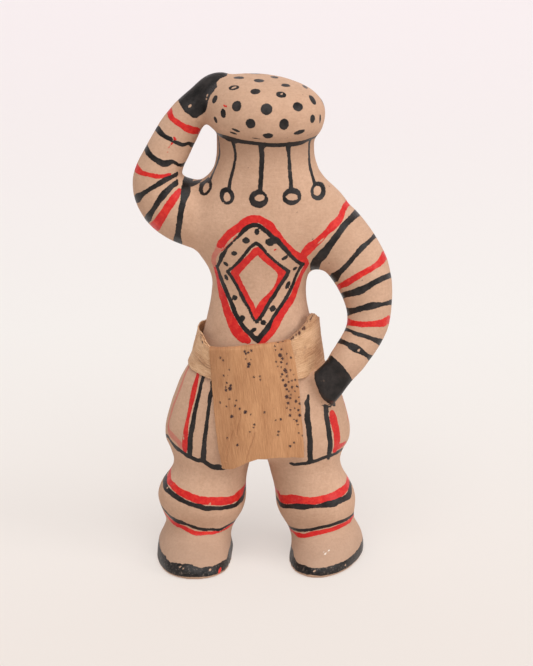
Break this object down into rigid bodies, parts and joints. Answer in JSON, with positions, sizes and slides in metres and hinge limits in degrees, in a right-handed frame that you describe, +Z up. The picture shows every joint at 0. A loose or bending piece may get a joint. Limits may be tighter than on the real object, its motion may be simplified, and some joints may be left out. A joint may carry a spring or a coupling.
{
  "type": "clay doll",
  "caption": "Hand-modelled painted clay doll, hand raised to its cap and hand on hip, in a bark waistband and apron.",
  "frame": {"origin": "on the ground, below the middle of the bounding box", "axes": "+Z up; the doll faces -Y; +X is towards the hand on its hip"},
  "size_m": [0.0934, 0.05, 0.1805],
  "materials": {
    "painted_clay": "unglazed fired clay, matte, with red and black brush marks",
    "bark": "thin dry inner bark, fibrous and matte"
  },
  "bodies": {
    "root": {"clay_figure": "painted_clay", "bark_waistband": "bark", "bark_apron": "bark"}
  },
  "joints": []
}
